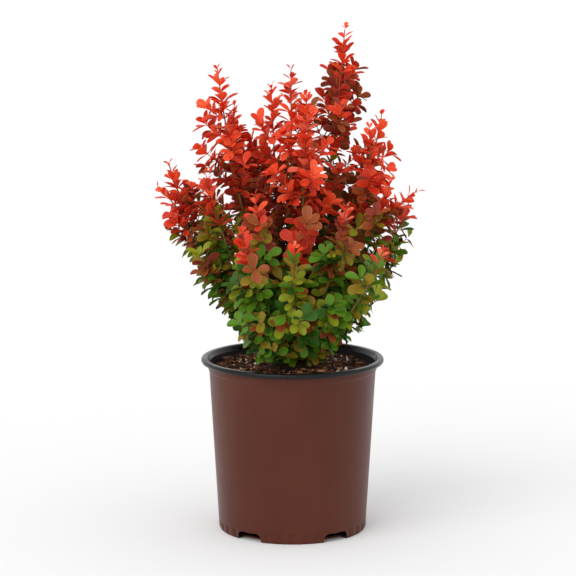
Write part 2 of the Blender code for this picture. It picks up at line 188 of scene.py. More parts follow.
@dataclass(frozen=True)
class MottledFinish(PlainFinish):
    """Two colours in blotches over a fine grain, as on plastic, bark and damp mix."""

    other: Colour = (128, 128, 128)
    blotch_scale: float = 60
    blotch_limits: Span = (0.45, 0.75)
    grain_scale: float = 1500
    grain_depth: float = 0.05 * MM
    stretch: tuple[float, float, float] = (1, 1, 1)
    other_roughness: float = 0.6

    def material(self) -> bpy.types.Material:
        """Makes the material, or finds it where it is already made.

        Returns:
            The material.
        """
        if self.name in bpy.data.materials:
            return bpy.data.materials[self.name]
        made = super().material()
        tree = made.node_tree
        shader = tree.nodes["Principled BSDF"]
        place = tree.nodes.new("ShaderNodeTexCoord")
        mapping = tree.nodes.new("ShaderNodeMapping")
        mapping.inputs["Scale"].default_value = self.stretch
        tree.links.new(place.outputs["Object"], mapping.inputs["Vector"])
        mottle = tree.nodes.new("ShaderNodeGroup")
        mottle.node_tree = Groups.mottle()
        mottle.inputs["Scale"].default_value = self.blotch_scale
        mottle.inputs["Low"].default_value = self.blotch_limits[0]
        mottle.inputs["High"].default_value = self.blotch_limits[1]
        tree.links.new(mapping.outputs["Vector"], mottle.inputs["Vector"])
        mix = tree.nodes.new("ShaderNodeMix")
        mix.data_type = "RGBA"
        mix.inputs[MIX_FIRST].default_value = linear(self.colour)
        mix.inputs[MIX_SECOND].default_value = linear(self.other)
        tree.links.new(mottle.outputs["Mask"], mix.inputs[MIX_FACTOR])
        tree.links.new(mix.outputs[MIX_RESULT], shader.inputs["Base Color"])
        wear = tree.nodes.new("ShaderNodeMapRange")
        wear.inputs["To Min"].default_value = self.roughness
        wear.inputs["To Max"].default_value = self.other_roughness
        tree.links.new(mottle.outputs["Mask"], wear.inputs["Value"])
        tree.links.new(wear.outputs["Result"], shader.inputs["Roughness"])
        grain = tree.nodes.new("ShaderNodeGroup")
        grain.node_tree = Groups.grain()
        grain.inputs["Scale"].default_value = self.grain_scale
        grain.inputs["Depth"].default_value = self.grain_depth
        tree.links.new(mapping.outputs["Vector"], grain.inputs["Vector"])
        tree.links.new(grain.outputs["Normal"], shader.inputs["Normal"])
        return made


class Tint(Enum):
    """The colours of a spray's leaves: the blade, its margin and its midrib."""

    CORAL = ((240, 84, 44), (250, 126, 88), (246, 108, 68))
    ORANGE_RED = ((226, 60, 28), (242, 104, 64), (234, 82, 44))
    SALMON = ((242, 112, 82), (250, 150, 118), (246, 132, 100))
    DEEP_RED = ((200, 52, 30), (226, 96, 64), (212, 72, 44))
    MAROON = ((132, 46, 30), (176, 84, 58), (150, 62, 42))
    BRONZE = ((146, 72, 30), (190, 100, 60), (164, 90, 42))
    OLIVE = ((134, 116, 22), (170, 114, 48), (150, 134, 40))
    YELLOW_GREEN = ((138, 152, 26), (178, 142, 66), (154, 168, 50))
    MID_GREEN = ((82, 130, 20), (134, 130, 44), (100, 148, 40))
    DARK_GREEN = ((46, 90, 14), (84, 96, 30), (62, 108, 30))

    def finishes(self) -> list[PlainFinish]:
        """The finishes of the tint's blade, margin and midrib."""
        tint = self.name.lower()
        return [PlainFinish(f"{tint}_{part}", colour) for part, colour in zip(LEAF_PARTS, self.value)]


class Stage(Enum):
    """How old a stretch of shoot is, and how often each tint falls on its sprays."""

    YOUNG = ((Tint.CORAL, 0.4), (Tint.ORANGE_RED, 0.34), (Tint.SALMON, 0.1), (Tint.DEEP_RED, 0.16))
    TURNING = ((Tint.DEEP_RED, 0.36), (Tint.ORANGE_RED, 0.2), (Tint.BRONZE, 0.3), (Tint.MAROON, 0.14))
    BRONZED = ((Tint.BRONZE, 0.4), (Tint.OLIVE, 0.28), (Tint.MAROON, 0.14), (Tint.YELLOW_GREEN, 0.18))
    GREEN = (
        (Tint.MID_GREEN, 0.44),
        (Tint.DARK_GREEN, 0.26),
        (Tint.YELLOW_GREEN, 0.13),
        (Tint.BRONZE, 0.09),
        (Tint.OLIVE, 0.08),
    )

    def draw(self, chance: random.Random) -> Tint:
        """Draws the tint of one spray."""
        tints = [tint for tint, _ in self.value]
        return chance.choices(tints, [weight for _, weight in self.value])[0]


def deselect() -> None:
    """Leaves edit mode and deselects every object."""
    if bpy.context.object and bpy.context.object.mode != "OBJECT":
        bpy.ops.object.mode_set(mode="OBJECT")
    bpy.ops.object.select_all(action="DESELECT")


def dressed(piece: bpy.types.Object, finishes: Sequence[PlainFinish]) -> None:
    """Gives a piece its material slots.

    Args:
        piece: the piece.
        finishes: what its slots hold, in order.
    """
    piece.data.materials.clear()
    for finish in finishes:
        piece.data.materials.append(finish.material())


def arc(centre: Span, radius: float, start: float, end: float, steps: int) -> Profile:
    """Points along a round corner of a half section.

    Args:
        centre: the corner's centre, as its distance from the axis and its height.
        radius: the corner's radius.
        start: the angle that it starts at, in degrees.
        end: the angle that it ends at, in degrees.
        steps: how many stretches it is made of.

    Returns:
        The corner's points.
    """
    angles = [math.radians(start + (end - start) * index / steps) for index in range(steps + 1)]
    return [(centre[0] + radius * math.cos(a), centre[1] + radius * math.sin(a)) for a in angles]


def turned(name: str, profile: Profile, segments: int, hollow: bool, smooth: float) -> bpy.types.Object:
    """Turns a half section: a disc or a ring is extruded and resized from point to point.

    The piece is closed, and its faces point outwards.

    Args:
        name: the piece's name.
        profile: points as radius and height, which are joined end to start on a ring.
        segments: how many sides the turned piece has.
        hollow: True for a ring, False for a piece that starts and ends on a disc.
        smooth: the widest angle that is shaded smooth, in degrees.

    Returns:
        The turned piece.
    """
    deselect()
    radius, height = profile[0]
    fill = "NOTHING" if hollow else "NGON"
    bpy.ops.mesh.primitive_circle_add(
        vertices=segments, radius=radius, fill_type=fill, location=(0, 0, height)
    )
    piece = bpy.context.object
    piece.name = name
    bpy.ops.object.mode_set(mode="EDIT")
    bpy.ops.mesh.select_all(action="SELECT")
    for wider, higher in profile[1:] + (profile[:1] if hollow else []):
        bpy.ops.mesh.extrude_region_move(TRANSFORM_OT_translate={"value": (0, 0, higher - height)})
        share = wider / radius
        bpy.ops.transform.resize(value=(share, share, 1), center_override=(0, 0, 0))
        radius, height = wider, higher
    bpy.ops.mesh.select_all(action="SELECT")
    bpy.ops.mesh.remove_doubles(threshold=MERGE_DISTANCE)
    bpy.ops.mesh.normals_make_consistent(inside=False)
    bpy.ops.object.mode_set(mode="OBJECT")
    bpy.ops.object.transform_apply(location=True, rotation=True, scale=True)
    bpy.ops.object.shade_smooth_by_angle(angle=math.radians(smooth))
    return piece


def side_of(along: Vector, turn: float) -> Vector:
    """The way out from a stem, on one side of it.

    Args:
        along: the way that the stem runs.
        turn: the side, as an angle round the stem.

    Returns:
        A direction square to the stem.
    """
    side = along.orthogonal().normalized()
    side.rotate(Matrix.Rotation(turn, 3, along))
    return side


@dataclass
class NurseryPot:
    """The brown moulded pot: a tapering wall, a neck, and a foot with flutes and notches.

    Its wall has a ring of points at each of ring_steps, in millimetres. The low ones are
    close together, so that the flutes can be pressed into them.
    """

    height: float = 218 * MM
    base_radius: float = 92.6 * MM
    shoulder_radius: float = 104.4 * MM
    shoulder_height: float = 202 * MM
    shoulder_inset: float = 0.1 * MM
    shoulder_drop: float = 0.8 * MM
    neck_radius: float = 105.7 * MM
    neck_rise: float = 1.6 * MM
    neck_inset: float = 0.4 * MM
    neck_inset_share: float = 0.8
    neck_step: float = 0.5 * MM
    wall: float = 2 * MM
    wall_middle: float = 100 * MM
    floor: float = 2.2 * MM
    centre_radius: float = 30 * MM
    foot_round: float = 2.4 * MM
    foot_steps: int = 5
    ring_steps: tuple[int, ...] = (*range(4, 13), 14, 60, 110, 160, 195)
    rim_depth: float = 6 * MM
    gap: float = 0.3 * MM
    segments: int = 288
    smooth: float = 35
    flutes: int = 36
    flute_height: float = 12 * MM
    flute_depth: float = 1.5 * MM
    flute_fade: float = 1 * MM
    flute_power: int = 2
    notches: int = 5
    notch_width: float = 35 * MM
    notch_height: float = 10.5 * MM
    notch_corner: float = 6 * MM
    notch_corner_steps: int = 6
    notch_inner_radius: float = 78 * MM
    notch_first_angle: float = math.radians(-54)
    outside: MottledFinish = MottledFinish(
        "pot_brown_plastic",
        colour=(80, 34, 19),
        roughness=0.36,
        specular=0.24,
        other=(90, 41, 25),
        other_roughness=0.47,
        blotch_scale=9,
        blotch_limits=(0.4, 0.75),
        grain_scale=2600,
        grain_depth=0.03 * MM,
    )
    inside: MottledFinish = MottledFinish(
        "pot_black_lining",
        colour=(24, 23, 22),
        roughness=0.5,
        specular=0.4,
        other=(44, 38, 33),
        other_roughness=0.7,
        blotch_scale=45,
    )

    def wall_radius(self, height: float) -> float:
        """The outside of the wall, which widens evenly to its shoulder."""
        return self.base_radius + (self.shoulder_radius - self.base_radius) * height / self.shoulder_height

    def profile(self) -> Profile:
        """The half section, from the underside round to the inside of the floor.

        Returns:
            The section's points.
        """
        neck_top = self.height - self.rim_depth - self.gap
        ledge = self.shoulder_height
        foot = (self.base_radius - self.foot_round, self.foot_round)
        outside = [
            (self.centre_radius, 0.0),
            *arc(foot, self.foot_round, -90, -5, self.foot_steps),
            *[(self.wall_radius(step * MM), step * MM) for step in self.ring_steps],
            (self.shoulder_radius - self.shoulder_inset, ledge - self.shoulder_drop),
            (self.shoulder_radius, ledge),
            (self.neck_radius - self.neck_inset, ledge + self.neck_inset_share * self.neck_rise),
            (self.neck_radius, ledge + self.neck_rise + self.neck_step),
            (self.neck_radius, neck_top),
        ]
        inside = [
            (self.neck_radius - self.wall, neck_top),
            (self.neck_radius - self.wall, ledge + self.neck_rise),
            (self.shoulder_radius - self.wall, ledge - self.neck_rise),
            (self.wall_radius(self.wall_middle) - self.wall, self.wall_middle),
            (self.wall_radius(self.floor) - self.wall, self.floor),
            (self.centre_radius, self.floor),
        ]
        return outside + inside

    def notch_cutter(self, index: int) -> bpy.types.Object:
        """Makes an arch with round shoulders that runs out through the foot of the wall.

        Args:
            index: which notch it cuts, from 0.

        Returns:
            The cutter, turned to its notch.
        """
        outer = self.base_radius + self.notch_height
        deselect()
        bpy.ops.mesh.primitive_cube_add(size=1, location=(0, 0, 0))
        cutter = bpy.context.object
        cutter.scale = (outer - self.notch_inner_radius, self.notch_width, 2 * self.notch_height)
        cutter.location = ((outer + self.notch_inner_radius) / 2, 0, 0)
        bpy.ops.object.transform_apply(location=True, rotation=False, scale=True)
        bpy.ops.object.mode_set(mode="EDIT")
        bpy.ops.mesh.select_mode(type="EDGE")
        bpy.ops.object.mode_set(mode="OBJECT")
        for edge in cutter.data.edges:
            first, second = (cutter.data.vertices[i].co for i in edge.vertices)
            edge.select = first.z > 0 and second.z > 0 and abs(first.y - second.y) < MM
        bpy.ops.object.mode_set(mode="EDIT")
        bpy.ops.mesh.bevel(offset=self.notch_corner, segments=self.notch_corner_steps, affect="EDGES")
        bpy.ops.object.mode_set(mode="OBJECT")
        cutter.rotation_euler.z = self.notch_first_angle + index * math.tau / self.notches
        bpy.ops.object.transform_apply(location=True, rotation=True, scale=True)
        return cutter

    def flute(self, piece: bpy.types.Object) -> None:
        """Presses shallow flutes into the foot, with one at the middle of the front.

        Args:
            piece: the turned pot.
        """
        for vertex in piece.data.vertices:
            radius = vertex.co.xy.length
            if vertex.co.z > self.flute_height or radius < self.base_radius - self.wall / 2:
                continue
            angle = math.atan2(vertex.co.y, vertex.co.x) + math.pi / 2
            groove = (0.5 + 0.5 * math.cos(self.flutes * angle)) ** self.flute_power
            fade = min(1.0, (self.flute_height - vertex.co.z) / self.flute_fade)
            vertex.co.xy *= 1 - self.flute_depth * groove * fade / radius

    def build(self) -> None:
        """Makes the pot."""
        piece = turned("nursery_pot", self.profile(), self.segments, False, self.smooth)
        self.flute(piece)
        for index in range(self.notches):
            cutter = self.notch_cutter(index)
            deselect()
            bpy.context.view_layer.objects.active = piece
            piece.select_set(True)
            cut = piece.modifiers.new("notch", "BOOLEAN")
            cut.operation = "DIFFERENCE"
            cut.solver = "EXACT"
            cut.object = cutter
            bpy.ops.object.modifier_apply(modifier=cut.name)
            bpy.data.objects.remove(cutter, do_unlink=True)
        dressed(piece, [self.outside, self.inside])
        for face in piece.data.polygons:
            outward = face.normal.xy.dot(face.center.xy) > 0
            face.material_index = 0 if outward or face.center.z < self.gap else 1
        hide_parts("pot")
        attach(piece, "root")


@dataclass
class RolledRim:
    """The black rolled lip that sits on the neck and overhangs the wall."""

    height: float = NurseryPot.height
    radius: float = 114.5 * MM
    seat_radius: float = 103.7 * MM
    inner_radius: float = 106.4 * MM
    inner_step: float = 0.9 * MM
    inner_rise: float = 3 * MM
    inner_round: float = 1.9 * MM
    inner_round_steps: int = 6
    depth: float = NurseryPot.rim_depth
    roll: float = 2.6 * MM
    roll_steps: int = 7
    segments: int = 240
    smooth: float = 40
    finish: MottledFinish = MottledFinish(
        "rim_black_plastic",
        colour=(9, 9, 9),
        roughness=0.22,
        specular=0.28,
        other=(18, 18, 18),
        other_roughness=0.4,
        blotch_scale=30,
        grain_scale=2200,
        grain_depth=0.03 * MM,
    )

    def profile(self) -> Profile:
        """The lip's section: a seat on the neck, a round top and a rolled outer edge.

        Returns:
            The section's points, which close on themselves.
        """
        foot = self.height - self.depth
        across = self.radius - self.roll
        brow = (self.inner_radius + self.inner_round, self.height - self.inner_round)
        points = [(self.seat_radius, foot), (self.inner_radius - self.inner_step, foot + self.inner_rise)]
        points += arc(brow, self.inner_round, 175, 90, self.inner_round_steps)
        points += arc((across, self.height - self.roll), self.roll, 90, 0, self.roll_steps)
        points += arc((across, foot + self.roll), self.roll, 0, -90, self.roll_steps)
        return points

    def build(self) -> None:
        """Makes the rim."""
        piece = turned("rolled_rim", self.profile(), self.segments, True, self.smooth)
        dressed(piece, [self.finish])
        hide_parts("pot_rim")
        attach(piece, "root")


class Batch:
    """Gathers many small shapes of four-sided faces and joins them into one piece."""

    def __init__(self) -> None:
        """Starts empty."""
        self.points: list[np.ndarray] = []
        self.faces: list[np.ndarray] = []
        self.slots: list[np.ndarray] = []
        self.count = 0

    def add(self, points: np.ndarray, faces: np.ndarray, slots: np.ndarray) -> None:
        """Adds one shape.

        Args:
            points: its points, one row each.
            faces: the four points of each face.
            slots: the material slot of each face.
        """
        self.points.append(points)
        self.faces.append(faces + self.count)
        self.slots.append(slots)
        self.count += len(points)

    def build(self, name: str, finishes: Sequence[PlainFinish], smooth: bool) -> bpy.types.Object:
        """Joins the shapes.

        Args:
            name: the piece's name.
            finishes: its material slots, in order.
            smooth: whether its faces are shaded smooth.

        Returns:
            The joined piece, which rides on the root body.
        """
        points = np.concatenate(self.points)
        faces = np.concatenate(self.faces)
        mesh = bpy.data.meshes.new(name)
        mesh.vertices.add(len(points))
        mesh.vertices.foreach_set("co", points.astype(np.float32).ravel())
        mesh.loops.add(faces.size)
        mesh.loops.foreach_set("vertex_index", faces.astype(np.int32).ravel())
        mesh.polygons.add(len(faces))
        mesh.polygons.foreach_set("loop_start", np.arange(0, faces.size, 4, dtype=np.int32))
        mesh.update(calc_edges=True)
        piece = bpy.data.objects.new(name, mesh)
        dressed(piece, finishes)
        mesh.polygons.foreach_set("material_index", np.concatenate(self.slots).astype(np.int32))
        mesh.polygons.foreach_set("use_smooth", np.full(len(faces), smooth))
        mesh.update()
        bpy.context.scene.collection.objects.link(piece)
        log.info("%s: %d shapes, %d triangles", name, len(self.points), 2 * len(faces))
        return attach(piece, "root")


def tube(rings: list[tuple[Vector, Vector, float]], sides: int) -> tuple[np.ndarray, np.ndarray]:
    """Skins a run of rings of four or eight sides, closed at both ends.

    Args:
        rings: each ring's centre, the way that it faces and its radius.
        sides: 4 or 8.

    Returns:
        The points, and the four points of each face.
    """
    points = []
    across = rings[0][1].orthogonal().normalized()
    for centre, along, radius in rings:
        across = (across - along * across.dot(along)).normalized()
        over = along.cross(across)
        for side in range(sides):
            angle = math.tau * side / sides
            points.append(centre + (across * math.cos(angle) + over * math.sin(angle)) * radius)
    faces = []
    for ring in range(len(rings) - 1):
        for side in range(sides):
            near = ring * sides + side
            far = ring * sides + (side + 1) % sides
            faces.append((near, far, far + sides, near + sides))
    cap = [(0, 1, 2, 3)] if sides == 4 else [(0, 1, 2, 7), (2, 3, 6, 7), (3, 4, 5, 6)]
    last = (len(rings) - 1) * sides
    faces += [tuple(reversed(face)) for face in cap]
    faces += [tuple(index + last for index in face) for face in cap]
    return np.array(points), np.array(faces)


@dataclass
class PottingMix:
    """Damp dark mix with bark shreds, straw and white grains on it.

    The lengths and widths of shreds and the sizes of grains are in millimetres. A reach is
    the least and greatest share of the surface, from its middle out, that a thing lies on.
    """

    surface: float = 206 * MM
    edge_radius: float = 101.8 * MM
    centre_radius: float = 30 * MM
    middle_radius: float = 0.5 * MM
    depth: float = 30 * MM
    dish: float = 2.4 * MM
    rings: int = 34
    segments: int = 160
    bump: float = 2.2 * MM
    bump_scale: float = 70
    bump_noise: tuple[float, float, int] = (0.9, 2.1, 4)
    shreds: int = 1100
    shred_reach: Span = (0.05, 0.94)
    shred_lengths: tuple[int, ...] = (5, 8, 11, 16)
    shred_length_play: Span = (0.7, 1.3)
    shred_widths: Span = (0.6, 1.9)
    shred_lifts: Span = (-0.12, 0.3)
    shred_bends: Span = (-0.14, 0.14)
    shred_rest: float = 1.1
    shred_stations: tuple[float, ...] = (-0.5, -0.2, 0.15, 0.5)
    shred_end: float = 0.55
    shred_fewest_rings: int = 3
    shred_weights: tuple[float, ...] = (0.41, 0.32, 0.18, 0.09)
    shred_finishes: tuple[PlainFinish, ...] = (
        PlainFinish("shred_dark", (58, 34, 24), 0.8, 0.2),
        PlainFinish("shred_brown", (96, 56, 36), 0.8, 0.2),
        PlainFinish("shred_tan", (132, 82, 50), 0.75, 0.2),
        PlainFinish("straw", (192, 144, 92), 0.7, 0.2),
    )
    grains: int = 150
    grain_reach: Span = (0.12, 0.92)
    grain_sizes: Span = (0.6, 1.3)
    grain_large: float = 2.5
    grain_large_every: int = 11
    grain_rest: float = 0.9
    grain_shape: tuple[Span, ...] = ((-0.8, 0.55), (-0.2, 1.0), (0.5, 0.85), (0.9, 0.4))
    grain_play: float = 0.15
    grain_finish: PlainFinish = PlainFinish("perlite", (232, 228, 218), 0.9, 0.2)
    soil: MottledFinish = MottledFinish(
        "damp_mix",
        colour=(30, 19, 14),
        roughness=0.95,
        specular=0.2,
        other=(70, 44, 30),
        other_roughness=0.85,
        blotch_scale=190,
        blotch_limits=(0.45, 0.7),
        grain_scale=700,
        grain_depth=0.6 * MM,
    )

    def height_at(self, x: float, y: float) -> float:
        """The surface's height.

        Args:
            x: how far right of the axis.
            y: how far behind the axis.

        Returns:
            The height there, which is lowest along the wall.
        """
        rough = noise.fractal(Vector((x, y, 0)) * self.bump_scale, *self.bump_noise)
        radius = math.hypot(x, y) / self.edge_radius
        return self.surface - self.dish * radius**2 + self.bump * rough

    def spot(self, chance: random.Random, reach: Span) -> tuple[float, float]:
        """Draws a spot on the surface.

        Args:
            chance: the draws.
            reach: the shares of the surface that it lies between.

        Returns:
            The spot's x and y.
        """
        radius = self.edge_radius * math.sqrt(chance.uniform(*reach))
        angle = chance.uniform(0, math.tau)
        return radius * math.cos(angle), radius * math.sin(angle)

    def ground(self) -> None:
        """Makes the mix itself: a turned plug whose top is pushed into small clods."""
        low = self.surface - self.depth
        steps = range(self.rings, 0, -1)
        top = [(self.edge_radius * step / self.rings, self.surface) for step in steps]
        side = [(self.centre_radius, low), (self.edge_radius, low)]
        profile = [*side, *top, (self.middle_radius, self.surface)]
        piece = turned("mix_surface", profile, self.segments, False, SMOOTH_ALL)
        for vertex in piece.data.vertices:
            if vertex.co.z > self.surface - MM:
                vertex.co.z = self.height_at(vertex.co.x, vertex.co.y)
        dressed(piece, [self.soil])
        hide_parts("potting_mix")
        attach(piece, "root")

    def litter(self) -> None:
        """Makes the bark shreds and straw that lie on the mix, as one piece."""
        batch = Batch()
        chance = random.Random("shreds")
        for _ in range(self.shreds):
            x, y = self.spot(chance, self.shred_reach)
            length = chance.choice(self.shred_lengths) * MM * chance.uniform(*self.shred_length_play)
            width = chance.uniform(*self.shred_widths) * MM
            turn = chance.uniform(0, math.tau)
            lift = chance.uniform(*self.shred_lifts)
            along = Vector((math.cos(turn), math.sin(turn), lift)).normalized()
            centre = Vector((x, y, self.height_at(x, y) + self.shred_rest * width))
            bend = Vector((-along.y, along.x, 0)) * length * chance.uniform(*self.shred_bends)
            rings = []
            for share in self.shred_stations:
                spot = centre + along * length * share + bend * (1 - 4 * share * share)
                if spot.xy.length <= self.edge_radius - MM:
                    rings.append((spot, along, width * (self.shred_end if abs(share) == 0.5 else 1)))
            if len(rings) < self.shred_fewest_rings:
                continue
            points, faces = tube(rings, 4)
            slot = chance.choices(range(len(self.shred_finishes)), self.shred_weights)[0]
            batch.add(points, faces, np.full(len(faces), slot))
        piece = batch.build("bark_shreds", self.shred_finishes, False)

    def perlite(self) -> None:
        """Makes the white grains, a few of them large, as one piece."""
        batch = Batch()
        chance = random.Random("grains")
        for index in range(self.grains):
            x, y = self.spot(chance, self.grain_reach)
            large = index % self.grain_large_every == 0
            size = (self.grain_large if large else chance.uniform(*self.grain_sizes)) * MM
            centre = Vector((x, y, self.height_at(x, y) + self.grain_rest * size))
            tilt = Vector((chance.uniform(-1, 1), chance.uniform(-1, 1), 2)).normalized()
            rings = [(centre + tilt * size * rise, tilt, size * wide) for rise, wide in self.grain_shape]
            points, faces = tube(rings, 4)
            play = self.grain_play
            nudges = [[chance.uniform(-play, play) * size for _ in "xyz"] for _ in points]
            points = points + np.array(nudges)
            batch.add(points, faces, np.zeros(len(faces)))
        piece = batch.build("white_grains", (self.grain_finish,), False)

    def build(self) -> None:
        """Makes the mix and what lies on it."""
        self.ground()
        self.litter()
        self.perlite()


@dataclass
class Stump:
    """The short woody stump, whose bark flares into lobes where roots start."""

    foot: float = PottingMix.surface + NurseryPot.gap
    height: float = 12 * MM
    radius: float = 24.5 * MM
    flare_radius: float = 34 * MM
    flare_steps: int = 12
    flare_power: float = 2.2
    centre_radius: float = 8 * MM
    crown_round: float = 2 * MM
    crown_round_steps: int = 4
    crown_rings: Span = (0.7, 0.4)
    middle_radius: float = 4 * MM
    segments: int = 120
    lobes: int = 5
    wave: float = 0.07
    relief: float = 0.8 * MM
    ridges: float = 8
    ridge_rise: float = 40
    bark: MottledFinish = MottledFinish(
        "stump_bark",
        colour=(64, 46, 32),
        roughness=0.85,
        specular=0.2,
        other=(40, 28, 20),
        other_roughness=0.95,
        blotch_scale=120,
        stretch=(1, 1, 0.35),
        grain_scale=600,
        grain_depth=0.4 * MM,
    )

    def profile(self) -> Profile:
        """The half section: a flare, a rounded shoulder and a flat top.

        Returns:
            The section's points.
        """
        top = self.foot + self.height
        points = [(self.centre_radius, self.foot)]
        for step in range(self.flare_steps + 1):
            share = step / self.flare_steps
            radius = self.radius + (self.flare_radius - self.radius) * (1 - share) ** self.flare_power
            points.append((radius, self.foot + share * (self.height - self.crown_round)))
        shoulder = (self.radius - self.crown_round, top - self.crown_round)
        points += arc(shoulder, self.crown_round, 0, 90, self.crown_round_steps)
        points += [(share * self.radius, top) for share in self.crown_rings]
        return [*points, (self.middle_radius, top)]

    def build(self) -> None:
        """Makes the stump."""
        piece = turned("stump", self.profile(), self.segments, False, SMOOTH_ALL)
        for vertex in piece.data.vertices:
            if vertex.co.z < self.foot + 0.1 * MM or vertex.co.xy.length < self.centre_radius + MM:
                continue
            drop = 1 - (vertex.co.z - self.foot) / self.height
            angle = math.atan2(vertex.co.y, vertex.co.x)
            around = (self.ridges * math.cos(angle), self.ridges * math.sin(angle))
            ridge = noise.noise(Vector((*around, vertex.co.z * self.ridge_rise)))
            vertex.co.xy *= 1 + self.wave * drop * math.cos(self.lobes * angle)
            vertex.co.xy *= 1 + self.relief * ridge / self.radius
        dressed(piece, [self.bark])
        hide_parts("root_crown")
        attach(piece, "root")


@dataclass(frozen=True)
class Shoot:
    """One shoot of the shrub, with its places in millimetres.

    Attributes:
        name: its name, as on its cane.
        tip: where its highest leaf ends.
        bare: the share at its foot without leaves, which Shrub.bare_share scales.
        flush: how far below its tip its leaves are young and bright.
        forks: where the highest leaves of its side shoots end.
    """

    name: str
    tip: tuple[float, float, float]
    bare: float
    flush: float
    forks: tuple[tuple[float, float, float], ...] = ()


SHOOTS = (
    Shoot("tallest", (66, 50, 635), 0.34, 62),
    Shoot("left_tall", (-94, 5, 589), 0.26, 120, ((-71, 18, 541),)),
    Shoot("centre_left", (-27, 42, 563), 0.34, 125),
    Shoot("centre_tall", (-2, 8, 588), 0.34, 130),
    Shoot("centre_front", (17, -48, 561), 0.18, 185),
    Shoot("right_tall", (112, 8, 532), 0.24, 105, ((94, -14, 516),)),
    Shoot("far_left", (-155, -12, 471), 0.12, 62, ((-175, -14, 441),)),
    Shoot("left_front", (-108, -48, 464), 0.12, 48),
    Shoot("far_right", (122, -38, 452), 0.12, 36, ((160, -40, 437),)),
    Shoot("low_left", (-128, 36, 412), 0.1, 20),
    Shoot("front_left", (-47, -76, 442), 0.02, 40),
    Shoot("low_front_left", (-62, -114, 402), 0.02, 24),
    Shoot("front_right", (66, -88, 430), 0.02, 20),
    Shoot("low_front", (2, -126, 384), 0.02, 14),
    Shoot("low_front_right", (112, -102, 378), 0.02, 14),
    Shoot("back_centre", (22, 112, 512), 0.28, 110),
    Shoot("back_left", (-56, 106, 474), 0.24, 70),
    Shoot("back_right", (104, 88, 478), 0.2, 66),
    Shoot("far_back_left", (-116, 92, 424), 0.12, 34),
    Shoot("low_right", (150, 44, 418), 0.1, 22),
    Shoot("low_back_left", (-32, 158, 412), 0.12, 34),
    Shoot("low_back_right", (64, 148, 426), 0.12, 36),
)


class Bough(Enum):
    """The parts of the crown that are joined into one piece of leaves each."""

    TALL = ("tallest", "left_tall", "centre_left", "centre_tall", "centre_front", "right_tall")
    SIDES = ("far_left", "left_front", "far_right", "low_left", "low_right")
    FRONT = ("front_left", "low_front_left", "front_right", "low_front", "low_front_right")
    BACK = ("back_centre", "back_left", "back_right", "far_back_left", "low_back_left", "low_back_right")


class Line:
    """A curved centre line that can be read at any distance along it."""

    def __init__(self, foot: Vector, knee: Vector, tip: Vector, count: int) -> None:
        """Draws the line from foot to tip.

        Args:
            foot: where it starts.
            knee: what it is pulled towards.
            tip: where it ends.
            count: how many points it has.
        """
        shares = [index / (count - 1) for index in range(count)]
        self.points = [foot.lerp(knee, share).lerp(knee.lerp(tip, share), share) for share in shares]
        self.distances = [0.0]
        for before, after in zip(self.points, self.points[1:]):
            self.distances.append(self.distances[-1] + (after - before).length)
        self.length = self.distances[-1]

    def at(self, distance: float) -> tuple[Vector, Vector]:
        """Reads the line.

        Args:
            distance: how far along it.

        Returns:
            The point there, and the direction that the line runs in.
        """
        index = min(max(int(np.searchsorted(self.distances, distance)), 1), len(self.points) - 1)
        before, after = self.points[index - 1], self.points[index]
        step = self.distances[index] - self.distances[index - 1]
        share = (distance - self.distances[index - 1]) / step
        return before.lerp(after, share), (after - before).normalized()


@dataclass
class LeafShape:
    """A leaf's outline: narrow at its base, widest past the middle and round at its tip.

    Its rows of points stand at stations along it, each as wide as widths says. Its columns
    bound the margin, the blade and the midrib between them.
    """

    stations: tuple[float, ...] = (0, 0.16, 0.36, 0.58, 0.78, 0.93, 1)
    widths: tuple[float, ...] = (0.07, 0.22, 0.68, 0.97, 0.97, 0.66, 0.28)
    columns: tuple[float, ...] = (-1, -0.86, -0.035, 0.035, 0.86, 1)
    column_slots: tuple[int, ...] = (1, 0, 2, 0, 1)
    cup: float = 0.17
    cup_power: float = 1.5
    curl: float = 0.08
    faces: np.ndarray = field(init=False)
    slots: np.ndarray = field(init=False)

    def __post_init__(self) -> None:
        """Works out the faces and their slots: 0 the blade, 1 the margin and 2 the midrib."""
        wide = len(self.columns)
        faces = []
        slots = []
        for row in range(len(self.stations) - 1):
            for column, slot in enumerate(self.column_slots):
                near = row * wide + column
                faces.append((near, near + 1, near + 1 + wide, near + wide))
                slots.append(slot)
        self.faces = np.array(faces)
        self.slots = np.array(slots)

    def points(self, root: Vector, along: Vector, face: Vector, length: float, width: float) -> np.ndarray:
        """The leaf's points where it grows.

        Args:
            root: where its base is.
            along: the way that it points.
            face: the way that its upper side looks.
            length: its length.
            width: its greatest width.

        Returns:
            The points, one row each.
        """
        across = along.cross(face).normalized()
        down = np.array(self.stations)[:, None]
        half = np.array(self.widths)[:, None] * width / 2
        columns = np.array(self.columns)[None, :]
        rise = self.cup * width * np.abs(columns) ** self.cup_power * (half / (width / 2))
        rise = rise - self.curl * length * down**2
        rows = np.array(root) + np.array(along) * (down * length)[:, :, None]
        rows = rows + np.array(across) * (columns * half)[:, :, None]
        rows = rows + np.array(face) * rise[:, :, None]
        return rows.reshape(-1, 3)


